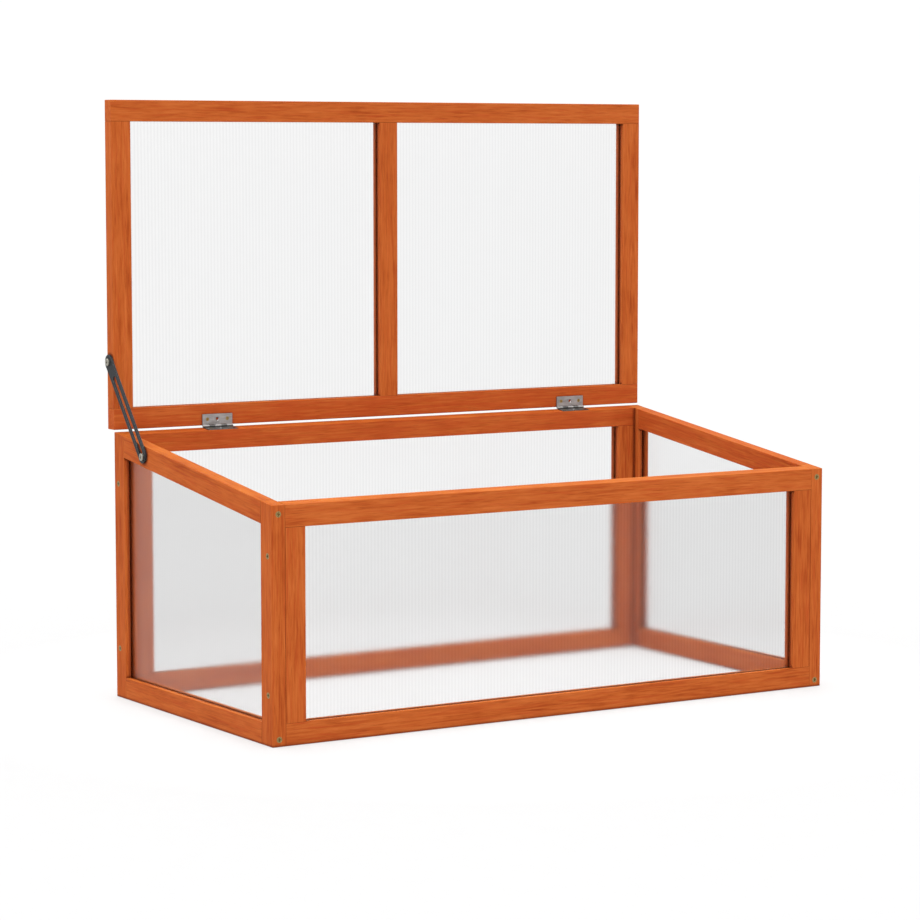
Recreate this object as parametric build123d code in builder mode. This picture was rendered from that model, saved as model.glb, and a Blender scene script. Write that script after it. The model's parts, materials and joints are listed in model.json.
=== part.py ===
from build123d import *
import os
from math import asin, atan2, cos, degrees, hypot, sin, sqrt

# A wooden cold frame: a bottomless box of four glazed frames with a sloping top, and a glazed lid
# on two butt hinges, held upright by one slotted stay on the left.
#
# X points right, Y to the rear and Z up. The origin is on the ground, under the middle of the
# front bottom rail. The lid is modelled open and upright. All sizes are in millimetres.

# ---------------------------------------------------------------- driving dimensions
WIDTH = 900.0                   # over the side frames
DEPTH = 460.0                   # over the front and rear frames
FRONT_HEIGHT = 316.0            # of the base, at its front face
REAR_HEIGHT = 376.0             # of the base, at its rear face
LID_LENGTH = 462.0

BOARD_WIDTH = 30.0
BOARD_THICKNESS = 20.0
ARRIS = 0.8                     # rounding along the boards' edges

GROOVE_WIDTH = 4.4
GROOVE_DEPTH = 9.0
PANE_THICKNESS = 4.0
PANE_GRIP = 8.0                 # how far a pane's edge reaches into its groove
PANE_SKIN = 0.5
PANE_WEB = 0.5
FLUTE_PITCH = 5.2

DOWEL_RADIUS = 3.0
DOWEL_LENGTH = 30.0
DOWEL_INSET = 13.0              # from a frame's outer edge to its corner dowels
DOWEL_CHAMFER = 0.8

SCREW_RADIUS = 1.9
SCREW_HEAD_RADIUS = 4.0
SIDE_SCREW_LENGTH = 45.0        # through a side stile into the end of a rail
CORNER_SCREW_LENGTH = 38.0      # through a side stile into the front or rear frame
SIDE_SCREW_DROP = 12.0          # below the top of the stile
SIDE_SCREW_RISE = 9.5           # above the ground
CORNER_SCREW_INSET = 11.5       # from the front or rear face
RECESS_DEPTH = 0.45             # a screw's cross recess, as shares of its head's radius
RECESS_SPAN = 1.2
RECESS_SLIT = 0.28
FRONT_CORNER_SCREW_HEIGHTS = (67.0, 249.0)
REAR_CORNER_SCREW_HEIGHTS = (70.0, 304.0)

HINGE_CENTRES = (("left", -287.0), ("right", 322.0))
HINGE_LENGTH = 48.0
HINGE_REACH = 17.0              # from the pin to a leaf's far edge
LEAF_THICKNESS = 1.0
LEAF_CLEARANCE = 0.45           # between a leaf's plate and the other leaf's knuckles
TAB_OVERLAP = 1.0               # of a knuckle's tab into its leaf's plate
KNUCKLE_COUNT = 5
KNUCKLE_RADIUS = 2.0
KNUCKLE_GAP = 0.2
PIN_RADIUS = 0.95
PIN_LIFT = 2.05                 # from a board's face to the pin's axis
LID_EDGE_GAP = 1.0              # from the pin's axis to the lid's hinged edge
HINGE_SCREW_SPACING = 16.0
HINGE_SCREW_RADIUS = 1.3
HINGE_SCREW_HEAD_RADIUS = 2.7
HINGE_SCREW_LENGTH = 12.0

STAY_RADIUS = 97.0              # from the hinge pin to each end of the stay
STAY_SCREW_DROP = 15.0          # of the lower screw, below the sloping top
STAY_WIDTH = 21.0
STAY_THICKNESS = 2.5
STAY_EDGE = 0.4
STAY_SLOT_WIDTH = 9.4
STAY_SLOT_START = 25.3          # from the upper screw to the slot's near end
STAY_SLOT_END = 166.0           # from the upper screw to the slot's far end
STAY_SCREW_DEPTH = 16.0         # of thread in the wood
SHOULDER_RADIUS = 2.5
STAY_HEAD_RADIUS = 5.3
STAY_HEAD_HEIGHT = 2.4
WASHER_RADIUS = 7.0
WASHER_THICKNESS = 0.9

FIT = 0.05                      # radial clearance of a pin in its hole
HOLE_CLEARANCE = 0.1            # radial clearance of a screw in its hole
FACE_GAP = 0.1                  # between faces that slide past each other
HOLE_RUNOUT = 1.0               # how much deeper a hole is than its fastener

# ---------------------------------------------------------------- derived places
INNER_HALF = WIDTH / 2 - BOARD_THICKNESS
OPENING_HALF = INNER_HALF - BOARD_WIDTH
FRONT_Y = -BOARD_THICKNESS / 2
REAR_Y = FRONT_Y + DEPTH
SLOPE = atan2(REAR_HEIGHT - FRONT_HEIGHT, DEPTH)
UNCUT_HEIGHT = REAR_HEIGHT + BOARD_WIDTH    # of pieces before their tops are cut to the slope
TOP_PLANE = Plane(origin=(0, REAR_Y, REAR_HEIGHT), x_dir=(1, 0, 0), z_dir=(0, -sin(SLOPE), cos(SLOPE)))
ALONG_SLOPE = Axis((0, 0, 0), (0, cos(SLOPE), sin(SLOPE)))


def top_height(y):
    """Height of the base's sloping top at a distance y to the rear."""
    return FRONT_HEIGHT + (y - FRONT_Y) * (REAR_HEIGHT - FRONT_HEIGHT) / DEPTH


def below_top(y, depth):
    """Height of a line parallel to the sloping top, at this depth below it."""
    return top_height(y) - depth / cos(SLOPE)


PIN_Y = REAR_Y - PIN_LIFT
PIN_Z = top_height(PIN_Y) + PIN_LIFT / cos(SLOPE)
LID_MIDDLE_Y = REAR_Y + BOARD_THICKNESS / 2
LID_BOTTOM = PIN_Z + LID_EDGE_GAP
LID_TOP = LID_BOTTOM + LID_LENGTH
LID_OPENING_EDGE = WIDTH / 2 - BOARD_WIDTH
LID_PANE_WIDTH = LID_OPENING_EDGE - BOARD_WIDTH / 2 + 2 * PANE_GRIP
LID_PANE_X = (LID_OPENING_EDGE + BOARD_WIDTH / 2) / 2

# The stay's two screws lie at the same distance from the hinge pin, so the stay turns at half of
# the lid's rate, and the lower screw stays on the slot's centre line.
upper_rise = sqrt(STAY_RADIUS**2 - (LID_MIDDLE_Y - PIN_Y) ** 2)
UPPER_SCREW = (LID_MIDDLE_Y, PIN_Z + upper_rise)
lower_turn = asin((STAY_SCREW_DROP + PIN_LIFT) / STAY_RADIUS)
LOWER_SCREW = (PIN_Y - STAY_RADIUS * cos(SLOPE + lower_turn), PIN_Z - STAY_RADIUS * sin(SLOPE + lower_turn))


# ---------------------------------------------------------------- helpers
def write(piece, label):
    """Labels a finished piece and writes its STEP file."""
    piece.part.label = label
    export_step(piece.part, f"parts/{label}.step")


def board(low, high, along=None, cut_to_slope=False):
    """Adds a board between two corners to the part being built, and rounds its edges.

    Only the edges along the given axis are rounded, or all of them where no axis is given.
    """
    size = [b - a for a, b in zip(low, high)]
    middle = [(a + b) / 2 for a, b in zip(low, high)]
    with Locations(Vector(*middle)):
        Box(*size)
    if cut_to_slope:
        split(bisect_by=TOP_PLANE, keep=Keep.BOTTOM)
    chosen = edges().filter_by(along) if along else edges()
    fillet(chosen, radius=ARRIS)


def cut_box(low, high):
    """Cuts a box between two corners out of the part being built."""
    size = [b - a for a, b in zip(low, high)]
    middle = [(a + b) / 2 for a, b in zip(low, high)]
    with Locations(Vector(*middle)):
        Box(*size, mode=Mode.SUBTRACT)


def cut_groove(x_range, y, z_range):
    """Cuts a pane's groove in a board of a front, rear or lid frame."""
    half = GROOVE_WIDTH / 2
    cut_box((x_range[0], y - half, z_range[0]), (x_range[1], y + half, z_range[1]))


def cut_dowel_hole(x, y, z):
    """Cuts both halves of an upright dowel's hole, centred on the joint at height z."""
    with Locations((x, y, z)):
        Cylinder(DOWEL_RADIUS + FIT, DOWEL_LENGTH + 2 * HOLE_RUNOUT, mode=Mode.SUBTRACT)


def cut_screw_holes(places, radius, head_radius, length):
    """Cuts the countersunk holes of the screws at these places out of the part being built."""
    with Locations(*places):
        CounterSinkHole(
            radius=radius + HOLE_CLEARANCE,
            counter_sink_radius=head_radius + HOLE_CLEARANCE,
            depth=length + HOLE_RUNOUT,
            counter_sink_angle=90,
        )


def countersunk_screw(radius, head_radius, length):
    """A flat-headed wood screw along -Z, its head's face at the origin, with a cross recess."""
    tip_length = 2 * radius
    recess_depth = RECESS_DEPTH * head_radius
    recess_span = RECESS_SPAN * head_radius
    recess_slit = RECESS_SLIT * head_radius
    with BuildPart() as screw:
        with BuildSketch(Plane.XZ):
            with BuildLine():
                Polyline(
                    (0, 0),
                    (head_radius, 0),
                    (radius, radius - head_radius),
                    (radius, tip_length - length),
                    (0, -length),
                    close=True,
                )
            make_face()
        revolve(axis=Axis.Z)
        with Locations((0, 0, -recess_depth / 2)):
            Box(recess_span, recess_slit, recess_depth, mode=Mode.SUBTRACT)
            Box(recess_slit, recess_span, recess_depth, mode=Mode.SUBTRACT)
    return screw.part


def group(single, places):
    """Copies of one fastener at these places, as separate solids of one piece."""
    with BuildPart() as copies:
        with Locations(*places):
            add(single)
    return copies


def fluted_pane(base_plane, width, height, cut_to_slope=False):
    """A twin-wall sheet standing on a plane: X along its width, its flutes upright."""
    flute_count = int((width - PANE_WEB) / FLUTE_PITCH)
    with BuildPart() as pane:
        with BuildSketch(base_plane):
            Rectangle(width, PANE_THICKNESS)
            with GridLocations(FLUTE_PITCH, 1, flute_count, 1):
                Rectangle(FLUTE_PITCH - PANE_WEB, PANE_THICKNESS - 2 * PANE_SKIN, mode=Mode.SUBTRACT)
        extrude(amount=height)
        if cut_to_slope:
            split(bisect_by=TOP_PLANE.offset(PANE_GRIP - BOARD_WIDTH), keep=Keep.BOTTOM)
    return pane


# ---------------------------------------------------------------- where the fasteners go
def side_frame_screw_places(side):
    """Head centres on the front and rear edges of one side frame's stiles."""
    x = side * (WIDTH / 2 - BOARD_THICKNESS / 2)
    places = []
    for y, outward, height in ((FRONT_Y, -1, FRONT_HEIGHT), (REAR_Y, 1, REAR_HEIGHT)):
        for z in (SIDE_SCREW_RISE, height - SIDE_SCREW_DROP):
            places.append(Plane(origin=(x, y, z), z_dir=(0, outward, 0)))
    return places


def corner_screw_places(side):
    """Head centres on one side frame's outer face, along its front and rear edges."""
    places = []
    for y, heights in (
        (FRONT_Y + CORNER_SCREW_INSET, FRONT_CORNER_SCREW_HEIGHTS),
        (REAR_Y - CORNER_SCREW_INSET, REAR_CORNER_SCREW_HEIGHTS),
    ):
        for z in heights:
            places.append(Plane(origin=(side * WIDTH / 2, y, z), z_dir=(side, 0, 0)))
    return places


def base_leaf_plane(x):
    """Frame of a hinge's base leaf: on the pin, Z square to the sloping top, Y to the rear."""
    return Plane(origin=(x, PIN_Y, PIN_Z), x_dir=(1, 0, 0), z_dir=(0, -sin(SLOPE), cos(SLOPE)))


def lid_leaf_plane(x):
    """Frame of a hinge's lid leaf: on the pin, Z away from the lid, Y towards its hinged edge."""
    return Plane(origin=(x, PIN_Y, PIN_Z), x_dir=(-1, 0, 0), z_dir=(0, -1, 0))


leaf_top = LEAF_THICKNESS - PIN_LIFT
leaf_near_edge = -(KNUCKLE_RADIUS + LEAF_CLEARANCE)
leaf_screw_line = (leaf_near_edge - HINGE_REACH) / 2


def hinge_screw_places(leaf_plane):
    """Head centres of the two screws in a leaf's outer holes."""
    places = []
    for x in (-HINGE_SCREW_SPACING, HINGE_SCREW_SPACING):
        centre = leaf_plane.from_local_coords((x, leaf_screw_line, leaf_top))
        places.append(Plane(origin=centre, z_dir=leaf_plane.z_dir))
    return places


BASE_HINGE_SCREWS = [p for _, x in HINGE_CENTRES for p in hinge_screw_places(base_leaf_plane(x))]
LID_HINGE_SCREWS = [p for _, x in HINGE_CENTRES for p in hinge_screw_places(lid_leaf_plane(x))]
SIDE_FRAME_SCREWS = side_frame_screw_places(-1) + side_frame_screw_places(1)
CORNER_SCREWS = corner_screw_places(-1) + corner_screw_places(1)


def cut_hinge_screw_holes(places):
    cut_screw_holes(places, HINGE_SCREW_RADIUS, HINGE_SCREW_HEAD_RADIUS, HINGE_SCREW_LENGTH)


def cut_side_frame_screw_holes(side):
    cut_screw_holes(side_frame_screw_places(side), SCREW_RADIUS, SCREW_HEAD_RADIUS, SIDE_SCREW_LENGTH)


def cut_corner_screw_holes(side):
    cut_screw_holes(corner_screw_places(side), SCREW_RADIUS, SCREW_HEAD_RADIUS, CORNER_SCREW_LENGTH)


def cut_stay_screw_hole(centre):
    """Cuts the pilot hole of one of the stay's screws, from the left face inwards."""
    with Locations(Plane(origin=(-WIDTH / 2, *centre), z_dir=(-1, 0, 0))):
        Hole(radius=SCREW_RADIUS + HOLE_CLEARANCE, depth=STAY_SCREW_DEPTH + HOLE_RUNOUT)


os.makedirs("parts", exist_ok=True)


# ---------------------------------------------------------------- front and rear frames
def cross_frame(name, middle_y, height):
    """A frame that fits between the side frames: two rails, two stiles, a pane and dowels."""
    near = middle_y - BOARD_THICKNESS / 2
    far = middle_y + BOARD_THICKNESS / 2
    opening_top = height - BOARD_WIDTH
    groove_half = OPENING_HALF + GROOVE_DEPTH
    dowel_x = INNER_HALF - DOWEL_INSET

    with BuildPart() as bottom_rail:
        board((-INNER_HALF, near, 0), (INNER_HALF, far, BOARD_WIDTH), Axis.X)
        cut_groove((-groove_half, groove_half), middle_y, (BOARD_WIDTH - GROOVE_DEPTH, BOARD_WIDTH))
        for x in (-dowel_x, dowel_x):
            cut_dowel_hole(x, middle_y, BOARD_WIDTH)
    write(bottom_rail, f"{name}_bottom_rail")

    with BuildPart() as top_rail:
        board((-INNER_HALF, near, opening_top), (INNER_HALF, far, UNCUT_HEIGHT), Axis.X, cut_to_slope=True)
        cut_groove((-groove_half, groove_half), middle_y, (opening_top, opening_top + GROOVE_DEPTH))
        for x in (-dowel_x, dowel_x):
            cut_dowel_hole(x, middle_y, opening_top)
        if name == "rear":
            cut_hinge_screw_holes(BASE_HINGE_SCREWS)
    write(top_rail, f"{name}_top_rail")

    for side_name, side in (("left", -1), ("right", 1)):
        low_x, high_x = sorted((side * OPENING_HALF, side * INNER_HALF))
        groove_x = sorted((side * OPENING_HALF, side * groove_half))
        with BuildPart() as stile:
            board((low_x, near, BOARD_WIDTH), (high_x, far, opening_top), Axis.Z)
            cut_groove(groove_x, middle_y, (BOARD_WIDTH, opening_top))
            for z in (BOARD_WIDTH, opening_top):
                cut_dowel_hole(side * dowel_x, middle_y, z)
            cut_corner_screw_holes(side)
        write(stile, f"{name}_{side_name}_stile")

    pane_base = BOARD_WIDTH - PANE_GRIP
    pane = fluted_pane(
        Plane(origin=(0, middle_y, pane_base)),
        width=2 * (OPENING_HALF + PANE_GRIP),
        height=opening_top + PANE_GRIP - pane_base,
    )
    write(pane, f"{name}_pane")

    joints = [(x, middle_y, z) for x in (-dowel_x, dowel_x) for z in (BOARD_WIDTH, opening_top)]
    write(group(dowel, joints), f"{name}_frame_dowels")


with BuildPart() as dowel_builder:
    Cylinder(DOWEL_RADIUS, DOWEL_LENGTH)
    chamfer(dowel_builder.edges().filter_by(GeomType.CIRCLE), length=DOWEL_CHAMFER)
dowel = dowel_builder.part

cross_frame("front", FRONT_Y + BOARD_THICKNESS / 2, FRONT_HEIGHT)
cross_frame("rear", REAR_Y - BOARD_THICKNESS / 2, REAR_HEIGHT)


# ---------------------------------------------------------------- side frames
def side_frame(name, side):
    """A side frame: full-height stiles, a bottom rail, a sloping top rail and a pane."""
    low_x, high_x = sorted((side * INNER_HALF, side * WIDTH / 2))
    middle_x = (low_x + high_x) / 2
    front_joint = FRONT_Y + BOARD_WIDTH
    rear_joint = REAR_Y - BOARD_WIDTH
    groove_x = (middle_x - GROOVE_WIDTH / 2, middle_x + GROOVE_WIDTH / 2)
    groove_bottom = BOARD_WIDTH - GROOVE_DEPTH

    stiles = (
        ("front_stile", FRONT_Y, (front_joint - GROOVE_DEPTH, front_joint)),
        ("rear_stile", rear_joint, (rear_joint, rear_joint + GROOVE_DEPTH)),
    )
    for stile_name, y, groove_y in stiles:
        groove_top = below_top(groove_y[1], BOARD_WIDTH - GROOVE_DEPTH)
        with BuildPart() as stile:
            board((low_x, y, 0), (high_x, y + BOARD_WIDTH, UNCUT_HEIGHT), cut_to_slope=True)
            cut_box((groove_x[0], groove_y[0], groove_bottom), (groove_x[1], groove_y[1], groove_top))
            cut_side_frame_screw_holes(side)
            cut_corner_screw_holes(side)
        write(stile, f"{name}_{stile_name}")

    with BuildPart() as bottom_rail:
        board((low_x, front_joint, 0), (high_x, rear_joint, BOARD_WIDTH), Axis.Y)
        cut_box((groove_x[0], front_joint, groove_bottom), (groove_x[1], rear_joint, BOARD_WIDTH))
        cut_side_frame_screw_holes(side)
    write(bottom_rail, f"{name}_bottom_rail")

    with BuildPart() as top_rail:
        with BuildSketch(Plane.YZ.offset(low_x)):
            with BuildLine():
                Polyline(
                    (front_joint, top_height(front_joint)),
                    (rear_joint, top_height(rear_joint)),
                    (rear_joint, below_top(rear_joint, BOARD_WIDTH)),
                    (front_joint, below_top(front_joint, BOARD_WIDTH)),
                    close=True,
                )
            make_face()
        extrude(amount=BOARD_THICKNESS)
        fillet(top_rail.edges().filter_by(ALONG_SLOPE), radius=ARRIS)
        middle_y = (front_joint + rear_joint) / 2
        groove_middle = below_top(middle_y, BOARD_WIDTH - GROOVE_DEPTH / 2)
        groove_plane = Plane(origin=(middle_x, middle_y, groove_middle), x_dir=(1, 0, 0), z_dir=TOP_PLANE.z_dir)
        with Locations(groove_plane):
            Box(GROOVE_WIDTH, DEPTH, GROOVE_DEPTH, mode=Mode.SUBTRACT)
        cut_side_frame_screw_holes(side)
        if name == "left":
            cut_stay_screw_hole(LOWER_SCREW)
    write(top_rail, f"{name}_top_rail")

    pane = fluted_pane(
        Plane(origin=(middle_x, middle_y, BOARD_WIDTH - PANE_GRIP), x_dir=(0, 1, 0), z_dir=(0, 0, 1)),
        width=rear_joint - front_joint + 2 * PANE_GRIP,
        height=UNCUT_HEIGHT,
        cut_to_slope=True,
    )
    write(pane, f"{name}_pane")


side_frame("left", -1)
side_frame("right", 1)

long_screw = countersunk_screw(SCREW_RADIUS, SCREW_HEAD_RADIUS, SIDE_SCREW_LENGTH)
write(group(long_screw, SIDE_FRAME_SCREWS), "side_frame_screws")
short_screw = countersunk_screw(SCREW_RADIUS, SCREW_HEAD_RADIUS, CORNER_SCREW_LENGTH)
write(group(short_screw, CORNER_SCREWS), "corner_screws")

# ---------------------------------------------------------------- lid
lid_near, lid_far = REAR_Y, REAR_Y + BOARD_THICKNESS
lid_joints = (LID_BOTTOM + BOARD_WIDTH, LID_TOP - BOARD_WIDTH)
lid_dowel_x = (DOWEL_INSET - WIDTH / 2, 0, WIDTH / 2 - DOWEL_INSET)
lid_groove_x = (BOARD_WIDTH / 2 - GROOVE_DEPTH, LID_OPENING_EDGE + GROOVE_DEPTH)

for rail_name, bottom, joint_z, groove_z in (
    ("lid_rear_rail", LID_BOTTOM, lid_joints[0], (lid_joints[0] - GROOVE_DEPTH, lid_joints[0])),
    ("lid_front_rail", lid_joints[1], lid_joints[1], (lid_joints[1], lid_joints[1] + GROOVE_DEPTH)),
):
    with BuildPart() as lid_rail:
        board((-WIDTH / 2, lid_near, bottom), (WIDTH / 2, lid_far, bottom + BOARD_WIDTH))
        for side in (-1, 1):
            cut_groove(sorted(side * x for x in lid_groove_x), LID_MIDDLE_Y, groove_z)
        for x in lid_dowel_x:
            cut_dowel_hole(x, LID_MIDDLE_Y, joint_z)
        if rail_name == "lid_rear_rail":
            cut_hinge_screw_holes(LID_HINGE_SCREWS)
    write(lid_rail, rail_name)

for side_name, side in (("left", -1), ("right", 1)):
    low_x, high_x = sorted((side * LID_OPENING_EDGE, side * WIDTH / 2))
    with BuildPart() as lid_stile:
        board((low_x, lid_near, lid_joints[0]), (high_x, lid_far, lid_joints[1]), Axis.Z)
        cut_groove(sorted((side * LID_OPENING_EDGE, side * lid_groove_x[1])), LID_MIDDLE_Y, lid_joints)
        for z in lid_joints:
            cut_dowel_hole(side * lid_dowel_x[2], LID_MIDDLE_Y, z)
        if side_name == "left":
            cut_stay_screw_hole(UPPER_SCREW)
    write(lid_stile, f"lid_{side_name}_stile")

    lid_pane = fluted_pane(
        Plane(origin=(side * LID_PANE_X, LID_MIDDLE_Y, lid_joints[0] - PANE_GRIP)),
        width=LID_PANE_WIDTH,
        height=lid_joints[1] - lid_joints[0] + 2 * PANE_GRIP,
    )
    write(lid_pane, f"lid_{side_name}_pane")

with BuildPart() as lid_mullion:
    board((-BOARD_WIDTH / 2, lid_near, lid_joints[0]), (BOARD_WIDTH / 2, lid_far, lid_joints[1]), Axis.Z)
    for side in (-1, 1):
        cut_groove(sorted((side * lid_groove_x[0], side * BOARD_WIDTH / 2)), LID_MIDDLE_Y, lid_joints)
    for z in lid_joints:
        cut_dowel_hole(0, LID_MIDDLE_Y, z)
write(lid_mullion, "lid_mullion")

lid_dowel_places = [(x, LID_MIDDLE_Y, z) for x in lid_dowel_x for z in lid_joints]
write(group(dowel, lid_dowel_places), "lid_dowels")


# ---------------------------------------------------------------- hinges
def hinge_leaf(leaf_plane, knuckle_slots):
    """A leaf on its plane, with knuckles at some of the places along the pin."""
    pitch = HINGE_LENGTH / KNUCKLE_COUNT
    knuckle_length = pitch - KNUCKLE_GAP
    tab_end = leaf_near_edge - TAB_OVERLAP
    with BuildPart(leaf_plane) as leaf:
        with Locations((0, (leaf_near_edge - HINGE_REACH) / 2, leaf_top - LEAF_THICKNESS / 2)):
            Box(HINGE_LENGTH, leaf_near_edge + HINGE_REACH, LEAF_THICKNESS)
        far_corners = leaf.edges().filter_by(Axis(leaf_plane.origin, leaf_plane.z_dir))
        fillet(far_corners, radius=ARRIS)
        for slot in knuckle_slots:
            x = (slot - (KNUCKLE_COUNT - 1) / 2) * pitch
            with Locations((x, tab_end / 2, leaf_top - LEAF_THICKNESS / 2)):
                Box(knuckle_length, -tab_end, LEAF_THICKNESS)
            with Locations((x, 0, 0)):
                Cylinder(KNUCKLE_RADIUS, knuckle_length, rotation=(0, 90, 0))
        Cylinder(PIN_RADIUS + FIT, HINGE_LENGTH + 2 * HOLE_RUNOUT, rotation=(0, 90, 0), mode=Mode.SUBTRACT)
        holes = [(x, leaf_screw_line, leaf_top) for x in (-HINGE_SCREW_SPACING, 0, HINGE_SCREW_SPACING)]
        with Locations(*holes):
            CounterSinkHole(
                radius=HINGE_SCREW_RADIUS + HOLE_CLEARANCE,
                counter_sink_radius=HINGE_SCREW_HEAD_RADIUS + HOLE_CLEARANCE,
                depth=LEAF_THICKNESS + HOLE_RUNOUT,
                counter_sink_angle=90,
            )
    return leaf


for hinge_name, hinge_x in HINGE_CENTRES:
    write(hinge_leaf(base_leaf_plane(hinge_x), knuckle_slots=(1, 3)), f"hinge_base_leaf_{hinge_name}")
    write(hinge_leaf(lid_leaf_plane(hinge_x), knuckle_slots=(0, 2, 4)), f"hinge_lid_leaf_{hinge_name}")
    with BuildPart(Plane(origin=(hinge_x, PIN_Y, PIN_Z), z_dir=(1, 0, 0))) as hinge_pin:
        Cylinder(PIN_RADIUS, HINGE_LENGTH)
        chamfer(hinge_pin.edges().filter_by(GeomType.CIRCLE), length=PIN_RADIUS / 4)
    write(hinge_pin, f"hinge_pin_{hinge_name}")

hinge_screw = countersunk_screw(HINGE_SCREW_RADIUS, HINGE_SCREW_HEAD_RADIUS, HINGE_SCREW_LENGTH)
write(group(hinge_screw, BASE_HINGE_SCREWS), "hinge_base_screws")
write(group(hinge_screw, LID_HINGE_SCREWS), "hinge_lid_screws")

# ---------------------------------------------------------------- stay
stay_inner_x = -WIDTH / 2 - WASHER_THICKNESS - FACE_GAP
stay_run = (LOWER_SCREW[0] - UPPER_SCREW[0], LOWER_SCREW[1] - UPPER_SCREW[1])
stay_direction = (0, stay_run[0] / hypot(*stay_run), stay_run[1] / hypot(*stay_run))
slot_near = STAY_SLOT_START + STAY_SLOT_WIDTH / 2
slot_far = STAY_SLOT_END - STAY_SLOT_WIDTH / 2
stay_plane = Plane(origin=(stay_inner_x, *UPPER_SCREW), x_dir=stay_direction, z_dir=(-1, 0, 0))

with BuildPart() as stay_arm:
    with BuildSketch(stay_plane):
        with Locations((slot_far / 2, 0)):
            SlotCenterToCenter(slot_far, STAY_WIDTH)
        with Locations(((slot_near + slot_far) / 2, 0)):
            SlotCenterToCenter(slot_far - slot_near, STAY_SLOT_WIDTH, mode=Mode.SUBTRACT)
        Circle(SHOULDER_RADIUS + FIT, mode=Mode.SUBTRACT)
    extrude(amount=STAY_THICKNESS)
    outer_face = stay_arm.faces().filter_by(Axis.X).sort_by(Axis.X)[0]
    chamfer(outer_face.outer_wire().edges(), length=STAY_EDGE)
write(stay_arm, "stay_arm")


def shoulder_screw(centre):
    """A round-headed screw through the stay: shoulder in the arm and washer, thread in the wood."""
    head_underside = WASHER_THICKNESS + 2 * FACE_GAP + STAY_THICKNESS
    dome = ARRIS
    recess = STAY_HEAD_HEIGHT / 2
    with BuildPart(Plane(origin=(-WIDTH / 2, *centre), z_dir=(-1, 0, 0))) as screw:
        Cylinder(SHOULDER_RADIUS, head_underside, align=(Align.CENTER, Align.CENTER, Align.MIN))
        with Locations((0, 0, head_underside)):
            Cylinder(STAY_HEAD_RADIUS, STAY_HEAD_HEIGHT, align=(Align.CENTER, Align.CENTER, Align.MIN))
        fillet(screw.edges().filter_by(GeomType.CIRCLE).sort_by(Axis.X)[0], radius=dome)
        Cylinder(SCREW_RADIUS, STAY_SCREW_DEPTH, align=(Align.CENTER, Align.CENTER, Align.MAX))
        chamfer(screw.edges().filter_by(GeomType.CIRCLE).sort_by(Axis.X)[-1], length=SCREW_RADIUS / 2)
        with Locations((0, 0, head_underside + STAY_HEAD_HEIGHT - recess / 2)):
            Box(STAY_HEAD_RADIUS, recess, recess, mode=Mode.SUBTRACT)
            Box(recess, STAY_HEAD_RADIUS, recess, mode=Mode.SUBTRACT)
    return screw


def washer(centre):
    """A flat washer on the left face, between the wood and the stay."""
    with BuildPart(Plane(origin=(-WIDTH / 2, *centre), z_dir=(-1, 0, 0))) as ring:
        Cylinder(WASHER_RADIUS, WASHER_THICKNESS, align=(Align.CENTER, Align.CENTER, Align.MIN))
        Cylinder(
            SHOULDER_RADIUS + HOLE_CLEARANCE,
            WASHER_THICKNESS,
            align=(Align.CENTER, Align.CENTER, Align.MIN),
            mode=Mode.SUBTRACT,
        )
    return ring


for end_name, screw_centre in (("upper", UPPER_SCREW), ("lower", LOWER_SCREW)):
    write(shoulder_screw(screw_centre), f"stay_{end_name}_screw")
    write(washer(screw_centre), f"stay_{end_name}_washer")

# The joints' places and limits, for whoever assembles the mechanism.
closing_angle = 90 + degrees(SLOPE)
print(f"hinge pin axis along +X at y {PIN_Y:.4f} z {PIN_Z:.4f}, upright to flat {closing_angle:.3f} degrees")
print(f"stay upper screw at y {UPPER_SCREW[0]:.4f} z {UPPER_SCREW[1]:.4f}")
print(f"stay lower screw at y {LOWER_SCREW[0]:.4f} z {LOWER_SCREW[1]:.4f}")
print(f"lid from z {LID_BOTTOM:.3f} to {LID_TOP:.3f}; top slope {degrees(SLOPE):.4f} degrees")
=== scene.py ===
import json
import math
import random

import bpy
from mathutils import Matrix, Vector


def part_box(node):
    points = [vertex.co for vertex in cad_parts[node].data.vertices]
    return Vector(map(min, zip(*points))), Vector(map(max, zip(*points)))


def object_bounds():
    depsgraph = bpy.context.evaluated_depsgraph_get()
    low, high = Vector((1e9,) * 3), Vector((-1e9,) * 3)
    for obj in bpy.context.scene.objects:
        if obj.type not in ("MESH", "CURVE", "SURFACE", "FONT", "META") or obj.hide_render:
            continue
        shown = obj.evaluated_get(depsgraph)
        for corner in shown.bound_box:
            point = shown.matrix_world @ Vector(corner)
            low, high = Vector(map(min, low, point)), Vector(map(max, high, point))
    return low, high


# Looks for the cold frame: stained softwood boards, twin-wall panes, zinc and powder-coated
# hardware, a pale floor, soft light and the camera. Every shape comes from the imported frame,
# and every colour is linear RGB. Sizes are metres.

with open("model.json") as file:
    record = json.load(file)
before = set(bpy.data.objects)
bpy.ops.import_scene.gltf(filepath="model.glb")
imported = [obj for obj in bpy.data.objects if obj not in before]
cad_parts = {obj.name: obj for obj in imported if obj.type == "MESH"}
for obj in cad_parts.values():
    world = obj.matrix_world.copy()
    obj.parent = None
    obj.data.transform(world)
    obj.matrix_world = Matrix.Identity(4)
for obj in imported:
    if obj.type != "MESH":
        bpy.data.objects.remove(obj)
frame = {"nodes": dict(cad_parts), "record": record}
cad_low, cad_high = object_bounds()
nodes = frame["nodes"]

SEED = 7
random.seed(SEED)

NOISE_SPREAD = (0.3, 0.7)       # nearly all of a noise's values lie in this range


def random_place(reach):
    """A random point, which gives each piece its own stretch of a pattern."""
    return [random.uniform(-reach, reach) for _ in range(3)]


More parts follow.
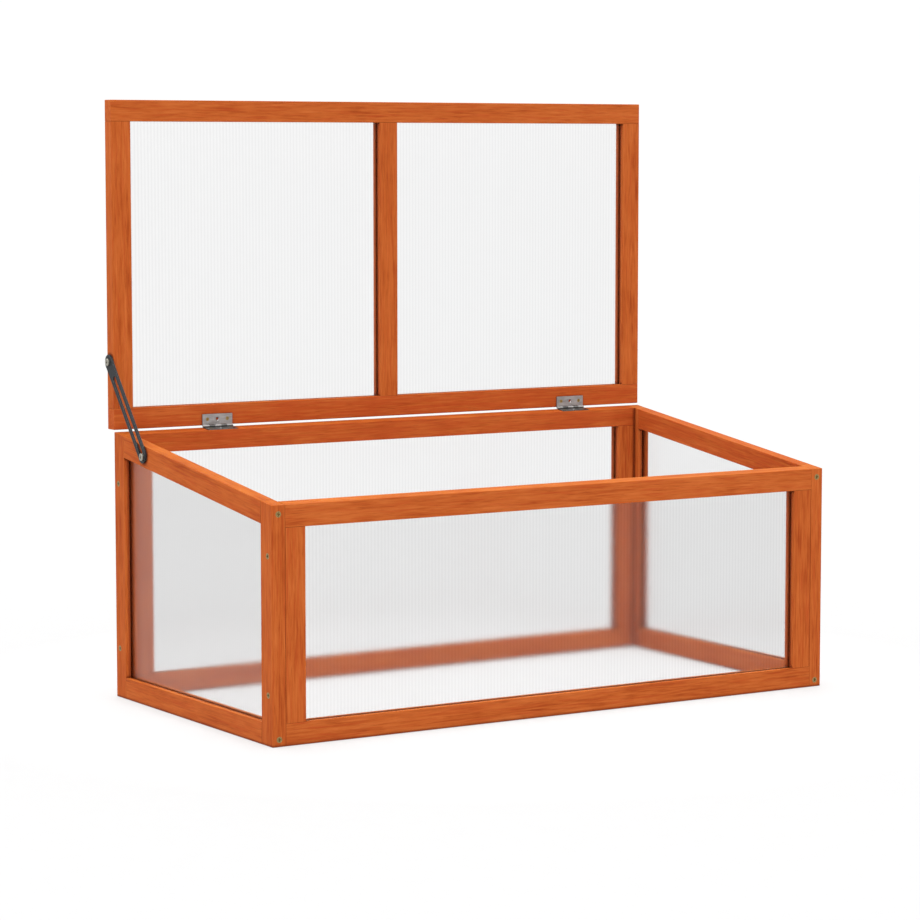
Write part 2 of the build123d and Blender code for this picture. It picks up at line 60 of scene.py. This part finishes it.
# ---------------------------------------------------------------- small node-tree helpers
class Tree:
    """A node tree under construction, with short calls for nodes, values and links."""

    def __init__(self, tree):
        self.tree = tree

    def node(self, kind, **settings):
        made = self.tree.nodes.new(kind)
        for name, value in settings.items():
            setattr(made, name, value)
        return made

    def join(self, source, target):
        self.tree.links.new(source, target)

    def feed(self, target, value):
        """Links a socket to an input, or sets the input to a plain value."""
        if isinstance(value, bpy.types.NodeSocket):
            self.join(value, target)
        else:
            target.default_value = value

    def math(self, operation, a, b=0.0, clamp=False):
        made = self.node("ShaderNodeMath", operation=operation, use_clamp=clamp)
        self.feed(made.inputs[0], a)
        self.feed(made.inputs[1], b)
        return made.outputs[0]

    def weighted_sum(self, values, weights):
        """Each value times its weight, added up."""
        total = 0.0
        for value, weight in zip(values, weights):
            total = self.math("ADD", total, self.math("MULTIPLY", value, weight))
        return total

    def mix_color(self, share, a, b, blend="MIX"):
        made = self.node("ShaderNodeMix", data_type="RGBA", blend_type=blend)
        self.feed(made.inputs[0], share)
        self.feed(made.inputs[6], a)
        self.feed(made.inputs[7], b)
        return made.outputs[2]

    def mix_shader(self, share, a, b):
        made = self.node("ShaderNodeMixShader")
        self.feed(made.inputs[0], share)
        self.join(a, made.inputs[1])
        self.join(b, made.inputs[2])
        return made.outputs[0]

    def noise(self, vector, scale, detail=2.0, roughness=0.5, distortion=0.0):
        made = self.node("ShaderNodeTexNoise")
        self.feed(made.inputs["Vector"], vector)
        made.inputs["Scale"].default_value = scale
        made.inputs["Detail"].default_value = detail
        made.inputs["Roughness"].default_value = roughness
        made.inputs["Distortion"].default_value = distortion
        return made.outputs["Fac"]

    def remap(self, value, source=(0.0, 1.0), target=(0.0, 1.0)):
        """Maps the source range onto the target range, and holds the ends beyond it."""
        made = self.node("ShaderNodeMapRange", clamp=True)
        for socket, number in zip(made.inputs[:5], (value, *source, *target)):
            self.feed(socket, number)
        return made.outputs[0]

    def gray(self, value):
        made = self.node("ShaderNodeCombineColor")
        for socket in made.inputs:
            self.feed(socket, value)
        return made.outputs[0]

    def axes(self, vector):
        """A vector's three components."""
        made = self.node("ShaderNodeSeparateXYZ")
        self.join(vector, made.inputs[0])
        return made.outputs

    def vector_math(self, operation, vector, other):
        """A node whose outputs are a vector and a value."""
        made = self.node("ShaderNodeVectorMath", operation=operation)
        self.feed(made.inputs[0], vector)
        self.feed(made.inputs[1], other)
        return made

    def scaled(self, vector, scale):
        return self.vector_math("MULTIPLY", vector, scale).outputs[0]

    def bump(self, height, strength, distance):
        made = self.node("ShaderNodeBump")
        made.inputs["Strength"].default_value = strength
        made.inputs["Distance"].default_value = distance
        self.feed(made.inputs["Height"], height)
        return made.outputs[0]

    def edge_mask(self, radius, turn):
        """Near 1 along edges and 0 on flat faces, from how far a bevel would turn the normal."""
        bevel = self.node("ShaderNodeBevel", samples=4)
        bevel.inputs["Radius"].default_value = radius
        geometry = self.node("ShaderNodeNewGeometry")
        dot = self.vector_math("DOT_PRODUCT", bevel.outputs[0], geometry.outputs["Normal"])
        return self.remap(self.math("SUBTRACT", 1.0, dot.outputs["Value"]), turn)

    def surface(self, shader):
        """Ends a material with this shader."""
        self.join(shader, self.node("ShaderNodeOutputMaterial").inputs["Surface"])


def new_material(name):
    """An empty node material and its tree helper."""
    material = bpy.data.materials.new(name)
    material.use_nodes = True
    material.node_tree.nodes.clear()
    return material, Tree(material.node_tree)


def set_material(obj, material):
    """Puts one material on all of an object."""
    obj.data.materials.clear()
    obj.data.materials.append(material)
    for polygon in obj.data.polygons:
        polygon.material_index = 0


# ---------------------------------------------------------------- stained wood
WOOD_DARK = (0.320, 0.050, 0.0090, 1)
WOOD_BODY = (0.478, 0.104, 0.0205, 1)
WOOD_LIGHT = (0.560, 0.142, 0.0330, 1)
WOOD_RED = (0.440, 0.065, 0.0150, 1)
WOOD_PORE = (0.200, 0.028, 0.0065, 1)
# pale arrises: partly real wear, partly a painted highlight
WOOD_WORN_HIGHLIGHT = (0.680, 0.200, 0.0450, 1)
# colour of the painted shade in creases and joints
WOOD_PAINTED_SHADE = (0.120, 0.016, 0.0050, 1)
PAINTED_TOP_LIGHT = (0.93, 1.07, 0.83, 1)        # painted top light: makes the faces that look up a little yellower
# painted shade: these boards are drawn darker and redder, as where shade and bounce from the wood fall
SHADED_RED_BOARDS = ("lid_rear_rail", "rear_top_rail", "right_top_rail")
# painted light: these boards are drawn lighter, to lift the shade the scene's light leaves on them
PAINTED_LIGHT_BOARDS = ("lid_front_rail", "front_top_rail", "front_bottom_rail", "lid_rear_rail")
SHADE_RED_SHIFT = 0.15
PAINTED_LIGHT_SHIFT = 0.025
TONE_SPREAD = 0.022             # how far boards differ in tone
BOARD_REACH = 9                 # how far each way a board's stretch of wood may lie
STREAK_STRETCH = 0.055          # a streak's width as a share of its length
PORE_STRETCH = 0.030
BAND_SCALE = 110                # features across the grain, per metre
STREAK_SCALE = 420
RED_SCALE = 300
FIBRE_SCALE = 1400
BLOTCH_SCALE = 16
WEAR_SCALE = 60
FIGURE_WEIGHTS = (0.28, 0.54, 0.18)     # of bands, streaks and blotches
FIGURE_RANGE = (0.34, 0.66)             # from the darkest wood to the lightest
RED_RANGE = (0.50, 0.72)
RED_SHARE = 0.60
PORE_RANGE = (0.58, 0.72)
PORE_SHARE = 0.45
PAINTED_SHADE_REACH = 0.005            # painted shade darkens the wood this near to a crease or joint
PAINTED_SHADE_RANGE = (0.97, 0.68)     # of openness, from no painted shade to full painted shade
PAINTED_SHADE_SHARE = 0.78
WORN_HIGHLIGHT_RADIUS = 0.0012
WORN_HIGHLIGHT_TURN = (0.02, 0.20)
WORN_HIGHLIGHT_OPENNESS = (0.80, 0.97)    # an arris wears, and takes its painted highlight, where it stands free
WORN_HIGHLIGHT_PATCHES = (0.35, 0.65), (0.2, 1.0)     # a noise's range, and how much it wears
WORN_HIGHLIGHT_SHARE = 0.5
UPWARD = (0.5, 0.95)            # from a slope to a face that looks straight up
WOOD_ROUGHNESS = (0.50, 0.66)
WOOD_SPECULAR = 0.03
RELIEF_WEIGHTS = (0.6, -0.8)    # of streaks, which stand up, and pores, which are cut in
RELIEF_STRENGTH = 0.35
RELIEF_DEPTH = 0.00025


def wood_figure(tree, vector, tone, shade_redness):
    """The wood's own colour, with the streaks and pores that made it, plus the painted shade and painted
    light of some boards.
    """
    along_streaks = tree.scaled(vector, (STREAK_STRETCH, 1, 1))
    along_pores = tree.scaled(vector, (PORE_STRETCH, 1, 1))
    bands = tree.noise(along_streaks, BAND_SCALE, detail=2, roughness=0.5, distortion=0.5)
    streaks = tree.noise(along_streaks, STREAK_SCALE, detail=3, roughness=0.62, distortion=0.25)
    reds = tree.noise(along_streaks, RED_SCALE, detail=2, roughness=0.6, distortion=0.4)
    fibres = tree.noise(along_pores, FIBRE_SCALE, detail=2, roughness=0.6)
    blotches = tree.noise(vector, BLOTCH_SCALE, detail=2)

    figure = tree.weighted_sum((bands, streaks, blotches), FIGURE_WEIGHTS)
    # the tone given also carries the painted light of some boards
    lightness = tree.remap(tree.math("ADD", figure, tone), FIGURE_RANGE)
    color = tree.mix_color(tree.remap(lightness, (0.0, 0.5)), WOOD_DARK, WOOD_BODY)
    color = tree.mix_color(tree.remap(lightness, (0.5, 1.0)), color, WOOD_LIGHT)
    # the redness added here is painted shade on some boards
    reddened = tree.remap(tree.math("ADD", reds, shade_redness), RED_RANGE, (0.0, RED_SHARE))
    color = tree.mix_color(reddened, color, WOOD_RED)
    pores = tree.remap(fibres, PORE_RANGE)
    color = tree.mix_color(tree.math("MULTIPLY", pores, PORE_SHARE), color, WOOD_PORE)
    return color, streaks, pores


def wood_use(tree, vector, color):
    """Pale worn arrises in patches with a painted highlight, painted shade in creases and joints, and
    painted top light that turns the tops yellower, over a wood colour.
    """
    hollow = tree.node("ShaderNodeAmbientOcclusion", samples=6)
    hollow.inputs["Distance"].default_value = PAINTED_SHADE_REACH
    openness = hollow.outputs["AO"]
    # worn arrises in patches, lightened partly as a painted highlight
    patches = tree.remap(tree.noise(vector, WEAR_SCALE, detail=2), *WORN_HIGHLIGHT_PATCHES)
    worn_and_highlight = tree.math("MULTIPLY", tree.edge_mask(WORN_HIGHLIGHT_RADIUS, WORN_HIGHLIGHT_TURN), patches)
    worn_and_highlight = tree.math("MULTIPLY", worn_and_highlight, tree.remap(openness, WORN_HIGHLIGHT_OPENNESS))
    color = tree.mix_color(tree.math("MULTIPLY", worn_and_highlight, WORN_HIGHLIGHT_SHARE), color, WOOD_WORN_HIGHLIGHT)
    # painted shade where the ambient occlusion finds a crease or joint
    painted_shade = tree.remap(openness, PAINTED_SHADE_RANGE, (0.0, PAINTED_SHADE_SHARE))
    color = tree.mix_color(painted_shade, color, WOOD_PAINTED_SHADE)
    # painted top light: faces that look up are tinted yellower
    normal = tree.node("ShaderNodeNewGeometry").outputs["Normal"]
    looks_up = tree.remap(tree.axes(normal)["Z"], UPWARD)
    return tree.mix_color(looks_up, color, PAINTED_TOP_LIGHT, blend="MULTIPLY")


def stained_wood_group():
    """Node group of stained softwood: its grain runs along the X of the vector that it is given."""
    group = bpy.data.node_groups.new("StainedWood", "ShaderNodeTree")
    new_socket = group.interface.new_socket
    new_socket("Vector", in_out="INPUT", socket_type="NodeSocketVector")
    new_socket("ToneAndLight", in_out="INPUT", socket_type="NodeSocketFloat")
    new_socket("ShadeRedness", in_out="INPUT", socket_type="NodeSocketFloat")
    new_socket("BSDF", in_out="OUTPUT", socket_type="NodeSocketShader")
    tree = Tree(group)
    given = tree.node("NodeGroupInput").outputs
    color, streaks, pores = wood_figure(tree, given["Vector"], given["ToneAndLight"], given["ShadeRedness"])
    color = wood_use(tree, given["Vector"], color)
    relief = tree.weighted_sum((streaks, pores), RELIEF_WEIGHTS)
    shader = tree.node("ShaderNodeBsdfPrincipled")
    tree.join(color, shader.inputs["Base Color"])
    tree.join(tree.remap(streaks, NOISE_SPREAD, WOOD_ROUGHNESS), shader.inputs["Roughness"])
    shader.inputs["Specular IOR Level"].default_value = WOOD_SPECULAR
    tree.join(tree.bump(relief, RELIEF_STRENGTH, RELIEF_DEPTH), shader.inputs["Normal"])
    tree.join(shader.outputs[0], tree.node("NodeGroupOutput").inputs["BSDF"])
    return group


def board_turn(name, board_width):
    """Turn, as Euler angles, that lays a board's length along X."""
    low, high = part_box(name)
    size = high - low
    longest = max(range(3), key=lambda axis: size[axis])
    if longest == 0:
        return (0.0, 0.0, 0.0)
    if longest == 2:
        return (0.0, math.pi / 2, 0.0)
    slopes = size.z > 1.5 * board_width     # a level board is no higher than its width
    tilt = math.atan2(size.z - board_width, size.y) if slopes else 0.0
    return (-tilt, 0.0, -math.pi / 2)


def stained_board(name, group, board_width):
    """Its own stretch of stained wood for one board, with the grain along the board."""
    material, tree = new_material("stained_" + name)
    place = tree.node("ShaderNodeTexCoord").outputs["Object"]
    turn = tree.node("ShaderNodeMapping", vector_type="POINT")
    tree.join(place, turn.inputs["Vector"])
    turn.inputs["Rotation"].default_value = board_turn(name, board_width)
    turn.inputs["Location"].default_value = random_place(BOARD_REACH)
    tone = random.uniform(-TONE_SPREAD, TONE_SPREAD)
    wood = tree.node("ShaderNodeGroup", node_tree=group)
    tree.join(turn.outputs[0], wood.inputs["Vector"])
    # painted light raises the tone of some boards
    wood.inputs["ToneAndLight"].default_value = tone + (PAINTED_LIGHT_SHIFT if name in PAINTED_LIGHT_BOARDS else 0.0)
    # painted shade makes some boards darker and redder
    wood.inputs["ShadeRedness"].default_value = SHADE_RED_SHIFT if name in SHADED_RED_BOARDS else 0.0
    tree.surface(wood.outputs["BSDF"])
    return material


# ---------------------------------------------------------------- twin-wall panes
FRONT_IOR = 1.055               # the two skins lie parallel, so a pane bends light this little
SIDE_IOR = 1.041
PANE_ROUGHNESS = 0.29
PANE_TINT = (0.955, 0.905)      # share of light that crosses an outer face, square on and grazing
PANE_GLOSS = 0.030              # share of light an outer face reflects when seen square on
GRAZING_GLOSS = 1.2
GRAZING_POWER = 5.0
GLOSS_ROUGHNESS = (0.20, 0.26)
RIPPLE_SCALE = 420
RIPPLE_BLUR = (-0.01, 0.01)     # what the ripples add to the roughness
RIPPLE_STRETCH = 0.02           # ripples run up the sheet
CLOUD_SCALE = 22
PANE_REACH = 5                  # how far each way a pane's ripples and clouds may lie
FLUTE_PITCH = 0.0052
FRONT_LINES = 0.036             # how much darker the sheet is where a web meets its face
SIDE_LINES = 0.010
WEB_TINT = 0.978
OUTER_SHARE = 0.95              # of a pane's half thickness: the outer faces lie beyond it
SIDEWAYS = 0.7                  # a face that looks this much across the sheet belongs to a web


def outer_skin(tree, across, faces_front):
    """The outer faces: they bend, tint and blur what is behind, and reflect a little."""
    place = tree.node("ShaderNodeTexCoord").outputs["Object"]
    place = tree.vector_math("ADD", place, random_place(PANE_REACH)).outputs[0]
    ripple = tree.noise(tree.scaled(place, (1, 1, RIPPLE_STRETCH)), RIPPLE_SCALE, detail=2)
    clouds = tree.noise(place, CLOUD_SCALE, detail=2)
    facing = tree.node("ShaderNodeLayerWeight")
    facing.inputs["Blend"].default_value = 0.5

    flutes = tree.math("DIVIDE", across, FLUTE_PITCH)
    wave = tree.math("COSINE", tree.math("MULTIPLY", flutes, 2 * math.pi))
    lines = tree.math("MULTIPLY", wave, FRONT_LINES if faces_front else SIDE_LINES)
    clarity = tree.remap(facing.outputs["Facing"], (0, 1), PANE_TINT)
    see_through = tree.node("ShaderNodeBsdfRefraction", distribution="BECKMANN")
    tree.join(tree.gray(tree.math("SUBTRACT", clarity, lines)), see_through.inputs["Color"])
    see_through.inputs["IOR"].default_value = FRONT_IOR if faces_front else SIDE_IOR
    unevenness = tree.remap(ripple, NOISE_SPREAD, RIPPLE_BLUR)
    blur = tree.math("ADD", unevenness, PANE_ROUGHNESS)
    tree.join(blur, see_through.inputs["Roughness"])

    sheen = tree.node("ShaderNodeBsdfGlossy", distribution="GGX")
    tree.join(tree.remap(clouds, NOISE_SPREAD, GLOSS_ROUGHNESS), sheen.inputs["Roughness"])
    grazing = tree.math("POWER", facing.outputs["Facing"], GRAZING_POWER)
    grazing = tree.math("MULTIPLY", grazing, GRAZING_GLOSS)
    gloss = tree.math("ADD", grazing, PANE_GLOSS, clamp=True)
    return tree.mix_shader(gloss, see_through.outputs[0], sheen.outputs[0])


def pane_material(name):
    """Clear twin-wall plastic: sharp close behind the sheet, soft far behind it, faint upright webs.

    Only the two outer faces bend and reflect light, so the flutes and webs inside don't split
    the view. Light that falls on other pieces passes a pane freely.
    """
    low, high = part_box(name)
    middle = (low + high) / 2
    faces_front = high.x - low.x > high.y - low.y
    web_axis, thin_axis = (0, 1) if faces_front else (1, 0)
    material, tree = new_material("twin_wall_" + name)
    coordinates = tree.node("ShaderNodeTexCoord")
    place = tree.axes(coordinates.outputs["Object"])
    direction = tree.axes(coordinates.outputs["Normal"])
    across = tree.math("SUBTRACT", place[web_axis], middle[web_axis])
    skin = outer_skin(tree, across, faces_front)

    on_web = tree.math("GREATER_THAN", tree.math("ABSOLUTE", direction[web_axis]), SIDEWAYS)
    inside = tree.node("ShaderNodeBsdfTransparent")
    tree.join(tree.gray(tree.remap(on_web, (0, 1), (1.0, WEB_TINT))), inside.inputs["Color"])
    depth = tree.math("ABSOLUTE", tree.math("SUBTRACT", place[thin_axis], middle[thin_axis]))
    half_thickness = (high - low)[thin_axis] / 2
    on_outside = tree.math("GREATER_THAN", depth, half_thickness * OUTER_SHARE)
    sheet = tree.mix_shader(on_outside, inside.outputs[0], skin)

    ray = tree.node("ShaderNodeLightPath").outputs
    lights_others = tree.math("MAXIMUM", ray["Is Shadow Ray"], ray["Is Diffuse Ray"])
    unseen = tree.node("ShaderNodeBsdfTransparent")
    tree.surface(tree.mix_shader(lights_others, sheet, unseen.outputs[0]))
    return material


# ---------------------------------------------------------------- metals and dowels
# metal edges: partly real wear, partly a painted highlight
METAL_WORN_HIGHLIGHT_RADIUS = 0.0006
METAL_WORN_HIGHLIGHT_TURN = (0.02, 0.25)
METAL_WORN_HIGHLIGHT_PATCHES = (0.3, 0.6), (0.35, 1.0)
METAL_WORN_HIGHLIGHT_SHARE = 0.8
FINER = 5                       # how much finer the fine pattern is than the mottling
FINE_RANGE = (0.25, 0.75)
UNEVENNESS = 0.08               # of the roughness, either way
ROLLED = (0.25, 1, 1)           # stretch of rolled sheet's marks, along X
DOWEL_DARK = (0.42, 0.24, 0.10, 1)
DOWEL_LIGHT = (0.66, 0.45, 0.24, 1)
DOWEL_STRETCH = (1, 1, 0.06)
DOWEL_SCALE = 900

# Each metal: dark, light and worn colours (the worn edges carry a painted highlight too), roughness, scale
# of its mottling, and whatever is unusual.
METALS = {
    "yellow_zinc": dict(
        dark=(0.20, 0.13, 0.045, 1), light=(0.40, 0.28, 0.11, 1), wear_and_highlight=(0.50, 0.40, 0.22, 1),
        roughness=0.38, scale=700,
    ),
    "stamped_steel": dict(
        dark=(0.27, 0.255, 0.25, 1), light=(0.43, 0.41, 0.40, 1), wear_and_highlight=(0.62, 0.61, 0.60, 1),
        roughness=0.42, scale=260, stretch=ROLLED,
    ),
    # the leaves that lie on the base: hinge steel drawn darker, as painted shade
    "shaded_hinge_steel": dict(
        dark=(0.09, 0.088, 0.085, 1), light=(0.17, 0.165, 0.16, 1), wear_and_highlight=(0.55, 0.54, 0.53, 1),
        roughness=0.36, scale=260, stretch=ROLLED,
    ),
    "slate_powder_coat": dict(
        # its pale worn edges are mostly a painted edge highlight
        dark=(0.008, 0.010, 0.012, 1), light=(0.017, 0.020, 0.024, 1), wear_and_highlight=(0.26, 0.27, 0.28, 1),
        roughness=0.5, scale=500, metallic=0.0, specular=0.2,
    ),
    "zinc_plate": dict(
        dark=(0.26, 0.245, 0.20, 1), light=(0.46, 0.44, 0.38, 1), wear_and_highlight=(0.60, 0.59, 0.55, 1),
        roughness=0.34, scale=600,
    ),
}


def metal_material(name, dark, light, wear_and_highlight, roughness, scale, stretch=(1, 1, 1), metallic=1.0, specular=0.5):
    """Plated or coated metal: mottled colour, uneven roughness, fine relief and worn edges with a painted
    highlight.
    """
    material, tree = new_material(name)
    place = tree.scaled(tree.node("ShaderNodeTexCoord").outputs["Object"], stretch)
    mottle = tree.noise(place, scale, detail=3, roughness=0.6)
    fine = tree.noise(place, scale * FINER, detail=2, roughness=0.6)
    color = tree.mix_color(tree.remap(mottle, NOISE_SPREAD), dark, light)
    # worn edges, lightened partly as a painted highlight
    edges = tree.edge_mask(METAL_WORN_HIGHLIGHT_RADIUS, METAL_WORN_HIGHLIGHT_TURN)
    worn_and_highlight = tree.math("MULTIPLY", edges, tree.remap(fine, *METAL_WORN_HIGHLIGHT_PATCHES))
    color = tree.mix_color(tree.math("MULTIPLY", worn_and_highlight, METAL_WORN_HIGHLIGHT_SHARE), color, wear_and_highlight)
    shader = tree.node("ShaderNodeBsdfPrincipled")
    tree.join(color, shader.inputs["Base Color"])
    shader.inputs["Metallic"].default_value = metallic
    shader.inputs["Specular IOR Level"].default_value = specular
    uneven = tree.remap(fine, FINE_RANGE, (roughness - UNEVENNESS, roughness + UNEVENNESS))
    tree.join(uneven, shader.inputs["Roughness"])
    tree.join(tree.bump(fine, strength=0.25, distance=0.00008), shader.inputs["Normal"])
    tree.surface(shader.outputs[0])
    return material


def dowel_material():
    """Plain pale hardwood, seen only if the frame comes apart."""
    material, tree = new_material("dowel_wood")
    place = tree.node("ShaderNodeTexCoord").outputs["Object"]
    grain = tree.noise(tree.scaled(place, DOWEL_STRETCH), DOWEL_SCALE, detail=3)
    shader = tree.node("ShaderNodeBsdfPrincipled")
    color = tree.mix_color(tree.remap(grain, NOISE_SPREAD), DOWEL_DARK, DOWEL_LIGHT)
    tree.join(color, shader.inputs["Base Color"])
    shader.inputs["Roughness"].default_value = 0.6
    tree.join(tree.bump(grain, strength=0.3, distance=0.0001), shader.inputs["Normal"])
    tree.surface(shader.outputs[0])
    return material


# ---------------------------------------------------------------- dress the frame's nodes
FINISH_OF_SLOT = {
    "brass_screw": "yellow_zinc",
    "hinge_steel": "stamped_steel",
    "stay_coating": "slate_powder_coat",
    "zinc_hardware": "zinc_plate",
    "dowel": "dowel_wood",
}


def dress_nodes():
    """Gives each board and pane its own material, and the rest one of the shared finishes."""
    low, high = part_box("front_bottom_rail")
    board_width = (high - low).z
    group = stained_wood_group()
    finishes = {name: metal_material(name, **metal) for name, metal in METALS.items()}
    finishes["dowel_wood"] = dowel_material()
    slot_of = {part["node"]: part["material_slot"] for part in frame["record"]["subparts"]}
    for name in sorted(nodes):
        slot = slot_of[name]
        if slot == "stained_wood":
            material = stained_board(name, group, board_width)
        elif slot == "pane":
            material = pane_material(name)
        # painted shade: the base leaves take a darker copy of the hinge steel
        elif "base_leaf" in name:
            material = finishes["shaded_hinge_steel"]
        else:
            material = finishes[FINISH_OF_SLOT[slot]]
        set_material(nodes[name], material)


# ---------------------------------------------------------------- floor, light and camera
FLOOR_HALF = 400.0
FLOOR_DROP = 0.0004             # the floor lies just under the bottom rails
FLOOR_SCALE = 30
FLOOR_ROUGHNESS = 0.8
FLOOR_COLORS = (0.480, 0.480, 0.480, 1), (0.500, 0.500, 0.500, 1)
FLOOR_GLOW = 0.50               # share of the floor's light that comes from beneath, as on a light table
SEEN_PAINTED_LIGHT = 1.15                # painted light: its strength where it is seen near the frame, which lightens the shadow there
PAINTED_LIGHT_REACH = (0.55, 0.80)       # the painted light fades between these distances from the middle
HORIZON_LIGHT = 1.02
ZENITH_LIGHT = 3.45
SOFTBOX_RIM = (0.66, 0.88)      # heights on the unit sphere between which the light grows


def floor_material():
    """Pale and matt, and lit from beneath as well, with painted light where it is seen near the frame, so
    that shadows stay faint.
    """
    material, tree = new_material("pale_floor")
    place = tree.node("ShaderNodeTexCoord").outputs["Object"]
    shader = tree.node("ShaderNodeBsdfPrincipled")
    mottle = tree.noise(place, FLOOR_SCALE, detail=3)
    tree.join(tree.mix_color(mottle, *FLOOR_COLORS), shader.inputs["Base Color"])
    shader.inputs["Roughness"].default_value = FLOOR_ROUGHNESS

    # painted light: near the frame the camera sees the floor brighter, which lightens the contact shadow
    ray = tree.node("ShaderNodeLightPath").outputs
    seen = tree.math("MAXIMUM", ray["Is Camera Ray"], ray["Is Transmission Ray"])
    middle = (cad_low + cad_high) / 2
    away = tree.vector_math("DISTANCE", place, (middle.x, middle.y, 0)).outputs["Value"]
    painted_light_near = tree.remap(away, PAINTED_LIGHT_REACH, (1.0, 0.0))
    glow = tree.node("ShaderNodeEmission")
    strength = tree.remap(tree.math("MULTIPLY", seen, painted_light_near), (0, 1), (1, SEEN_PAINTED_LIGHT))
    tree.join(strength, glow.inputs["Strength"])
    tree.surface(tree.mix_shader(FLOOR_GLOW, shader.outputs[0], glow.outputs[0]))
    material.cycles.emission_sampling = "NONE"
    return material


def build_floor():
    """A plain pale floor under and around the frame."""
    mesh = bpy.data.meshes.new("floor")
    h = FLOOR_HALF
    mesh.from_pydata([(-h, -h, 0), (h, -h, 0), (h, h, 0), (-h, h, 0)], [], [(0, 1, 2, 3)])
    mesh.materials.append(floor_material())
    floor = bpy.data.objects.new("floor", mesh)
    bpy.context.scene.collection.objects.link(floor)
    floor.location.z = cad_low.z - FLOOR_DROP


def build_world():
    """A white room whose ceiling shines brighter than its walls, as under one large softbox."""
    world = bpy.data.worlds.new("studio")
    world.use_nodes = True
    world.node_tree.nodes.clear()
    tree = Tree(world.node_tree)
    height = tree.axes(tree.node("ShaderNodeTexCoord").outputs["Generated"])["Z"]
    background = tree.node("ShaderNodeBackground")
    background.inputs["Color"].default_value = (1, 1, 1, 1)
    strength = tree.remap(height, SOFTBOX_RIM, (HORIZON_LIGHT, ZENITH_LIGHT))
    tree.join(strength, background.inputs["Strength"])
    tree.join(background.outputs[0], tree.node("ShaderNodeOutputWorld").inputs["Surface"])
    bpy.context.scene.world = world


# The camera stands before the frame and to its left, over four metres away, and looks slightly down.
CAMERA_PLACE = Vector((-2.3839, -3.5600, 0.7732))
CAMERA_YAW = math.radians(32.02)
CAMERA_PITCH = math.radians(5.636)
SENSOR_WIDTH = 36.0             # millimetres, as is the lens
LENS = 123.56
CAMERA_REACH = 100


def build_camera():
    """A long lens from the front left."""
    data = bpy.data.cameras.new("camera")
    data.sensor_width = SENSOR_WIDTH
    data.lens = LENS
    data.clip_end = CAMERA_REACH
    camera = bpy.data.objects.new("camera", data)
    camera.location = CAMERA_PLACE
    camera.rotation_euler = (math.pi / 2 - CAMERA_PITCH, 0, -CAMERA_YAW)
    bpy.context.scene.collection.objects.link(camera)
    bpy.context.scene.camera = camera


def set_light_paths():
    """Enough bounces to see through four panes, and no caustics, which would only add noise."""
    cycles = bpy.context.scene.cycles
    cycles.max_bounces = 40
    cycles.transmission_bounces = 40
    cycles.transparent_max_bounces = 64
    cycles.diffuse_bounces = 4
    cycles.glossy_bounces = 4
    cycles.caustics_refractive = False
    cycles.caustics_reflective = False


dress_nodes()
build_floor()
build_world()
build_camera()
set_light_paths()
bpy.context.scene.view_settings.view_transform = "Standard"
